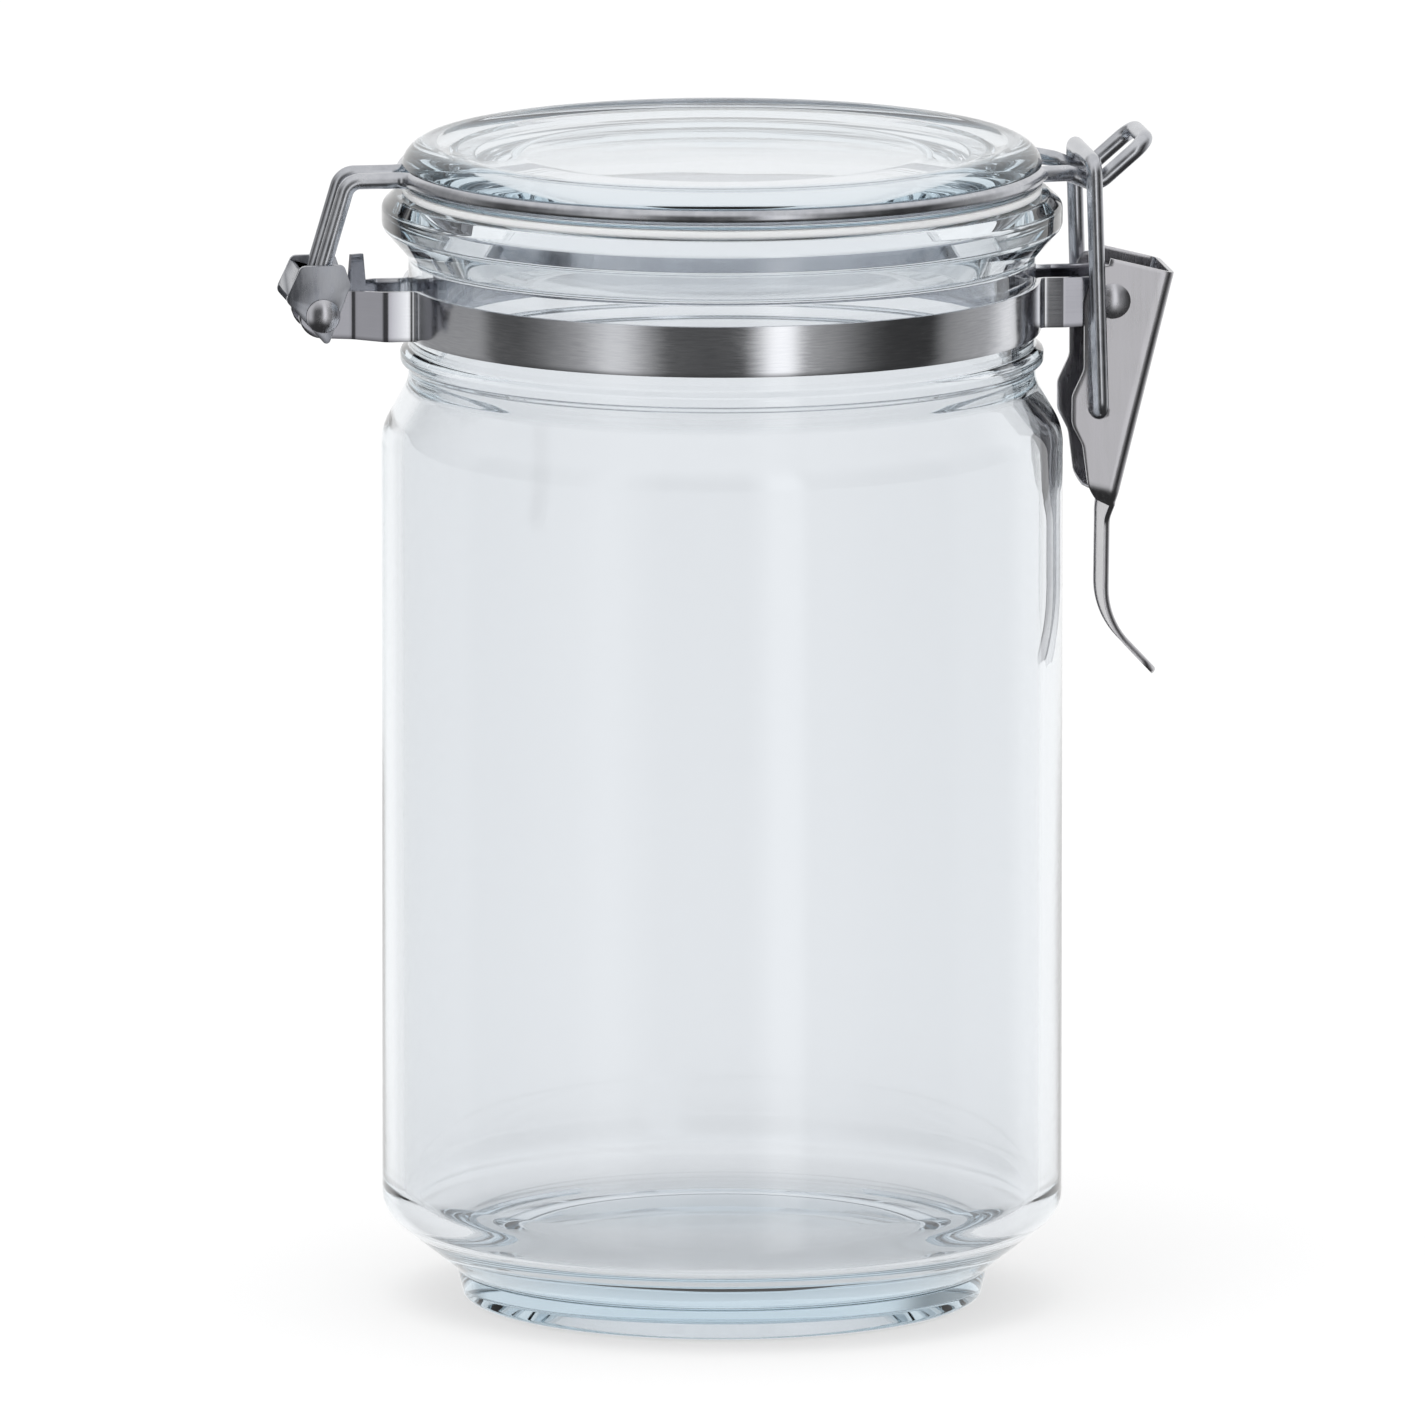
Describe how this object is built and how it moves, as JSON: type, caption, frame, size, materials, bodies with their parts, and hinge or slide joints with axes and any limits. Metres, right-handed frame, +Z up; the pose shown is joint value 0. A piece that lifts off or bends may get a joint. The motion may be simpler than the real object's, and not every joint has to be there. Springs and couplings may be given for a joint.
{
  "type": "lidded glass canister",
  "caption": "Round glass storage jar with a gasketed glass lid, a wire and clip hinge at one side and a toggle lever latch at the other.",
  "frame": {"origin": "on the jar's axis, in the plane that its foot stands on", "axes": "+Z up along the jar's axis, +X from the hinge towards the latch, +Y towards the back"},
  "size_m": [0.1311, 0.1, 0.1726],
  "materials": {
    "jar_glass": "clear, faint blue-green in the thick edges",
    "lid_glass": "clear, faint blue-green in the thick edges",
    "silicone": "translucent, matt",
    "strip_steel": "bright rolled stainless strip",
    "sheet_steel": "pressed stainless sheet",
    "wire_steel": "bright drawn stainless wire",
    "rivet_steel": "headed stainless rivet"
  },
  "bodies": {
    "jar": {"jar_glass": "jar_glass", "neck_band_front": "strip_steel", "neck_band_rear": "strip_steel", "hinge_rivet": "rivet_steel", "hinge_spacer": "rivet_steel", "latch_rivet": "rivet_steel", "latch_spacer": "rivet_steel"},
    "lid": {"lid_glass": "lid_glass", "gasket": "silicone", "lid_wire": "wire_steel", "hinge_clip": "sheet_steel"},
    "lever": {"lever": "sheet_steel"},
    "latch_wire": {"latch_wire": "wire_steel"}
  },
  "joints": [
    {"name": "lid_hinge", "type": "hinge", "parent": "jar", "child": "lid", "pos_m": [-0.0597, 0, 0.1478], "axis": [0, -1, 0], "range_deg": [0, 150]},
    {"name": "lever_hinge", "type": "hinge", "parent": "jar", "child": "lever", "pos_m": [0.0568, 0, 0.1478], "axis": [0, -1, 0], "range_deg": [0, 120]},
    {"name": "latch_wire_pivot", "type": "hinge", "parent": "lever", "child": "latch_wire", "pos_m": [0.0547, 0, 0.1316], "axis": [0, -1, 0], "range_deg": [-73.2, 0]}
  ],
  "couplings": [
    {"joint": "latch_wire_pivot", "follows": "lever_hinge", "ratio": -0.61}
  ]
}
